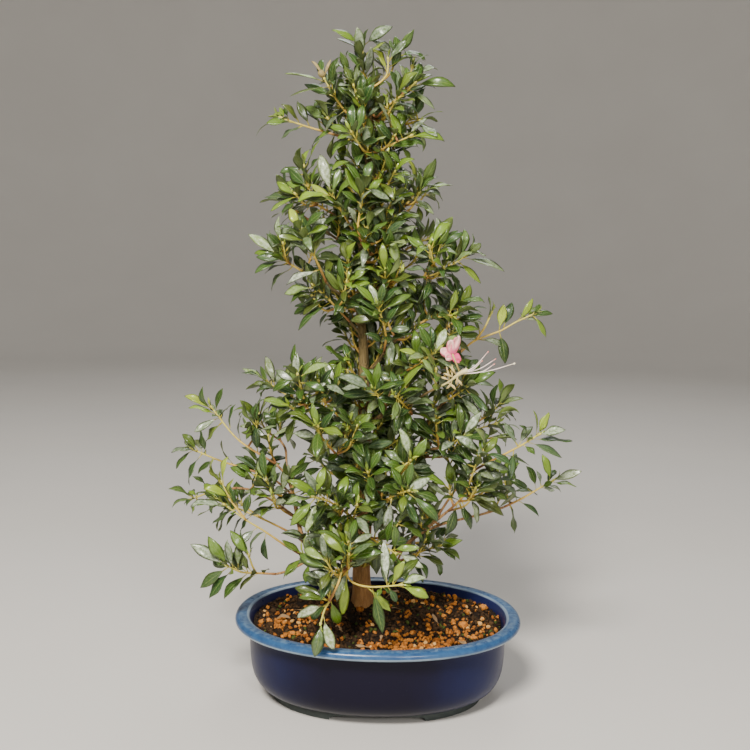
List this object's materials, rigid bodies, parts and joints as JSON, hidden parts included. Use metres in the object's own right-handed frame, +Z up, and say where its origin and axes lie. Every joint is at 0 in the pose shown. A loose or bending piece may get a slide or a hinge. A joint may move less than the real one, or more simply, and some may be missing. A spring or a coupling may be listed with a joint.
{
  "type": "azalea bonsai",
  "caption": "Upright azalea bonsai with whorls of narrow leaves, a spent flower and a seed capsule, standing in granular soil in a glazed oval pot with a rolled rim",
  "frame": {"origin": "on the surface that the pot stands on, below the middle of the whole plant's box", "axes": "+X to the right and -Y toward the viewer, as in the picture; +Z up"},
  "size_m": [0.3817, 0.2637, 0.5915],
  "materials": {
    "glazed_blue": "gloss",
    "soil_grains": "matte",
    "bark": "matte",
    "leaf_green": "satin",
    "petal_pink": "matte",
    "flower_threads": "matte",
    "capsule_tan": "matte"
  },
  "bodies": {
    "root": {"flower_petals": "petal_pink", "flower_stamens": "flower_threads", "pot": "glazed_blue", "seed_capsule": "capsule_tan", "soil": "soil_grains", "spray_apex": "leaf_green", "spray_back_1": "leaf_green", "spray_back_10": "leaf_green", "spray_back_11": "leaf_green", "spray_back_12": "leaf_green", "spray_back_2": "leaf_green", "spray_back_3": "leaf_green", "spray_back_4": "leaf_green", "spray_back_5": "leaf_green", "spray_back_6": "leaf_green", "spray_back_7": "leaf_green", "spray_back_8": "leaf_green", "spray_back_9": "leaf_green", "spray_bud_shoot": "leaf_green", "spray_centre_high": "leaf_green", "spray_crown_left": "leaf_green", "spray_crown_right": "leaf_green", "spray_front_centre_low": "leaf_green", "spray_front_hanging": "leaf_green", "spray_front_left_fork": "leaf_green", "spray_front_left_low": "leaf_green", "spray_front_left_tall": "leaf_green", "spray_front_left_upper": "leaf_green", "spray_front_low": "leaf_green", "spray_front_middle": "leaf_green", "spray_front_middle_right": "leaf_green", "spray_front_right_high": "leaf_green", "spray_front_upper": "leaf_green", "spray_left_broad": "leaf_green", "spray_left_faint": "leaf_green", "spray_left_far": "leaf_green", "spray_left_front_high": "leaf_green", "spray_left_inner": "leaf_green", "spray_left_middle": "leaf_green", "spray_left_reach": "leaf_green", "spray_left_top": "leaf_green", "spray_left_upper": "leaf_green", "spray_low_front_fan": "leaf_green", "spray_low_front_left": "leaf_green", "spray_low_front_right": "leaf_green", "spray_low_left_branch": "leaf_green", "spray_low_left_long": "leaf_green", "spray_low_right": "leaf_green", "spray_right_back": "leaf_green", "spray_right_bud": "leaf_green", "spray_right_centre": "leaf_green", "spray_right_end": "leaf_green", "spray_right_long": "leaf_green", "spray_right_low_fork": "leaf_green", "spray_right_low_reach": "leaf_green", "spray_right_reach": "leaf_green", "spray_right_silver": "leaf_green", "spray_right_top": "leaf_green", "spray_right_upper": "leaf_green", "wood": "bark"}
  },
  "joints": []
}
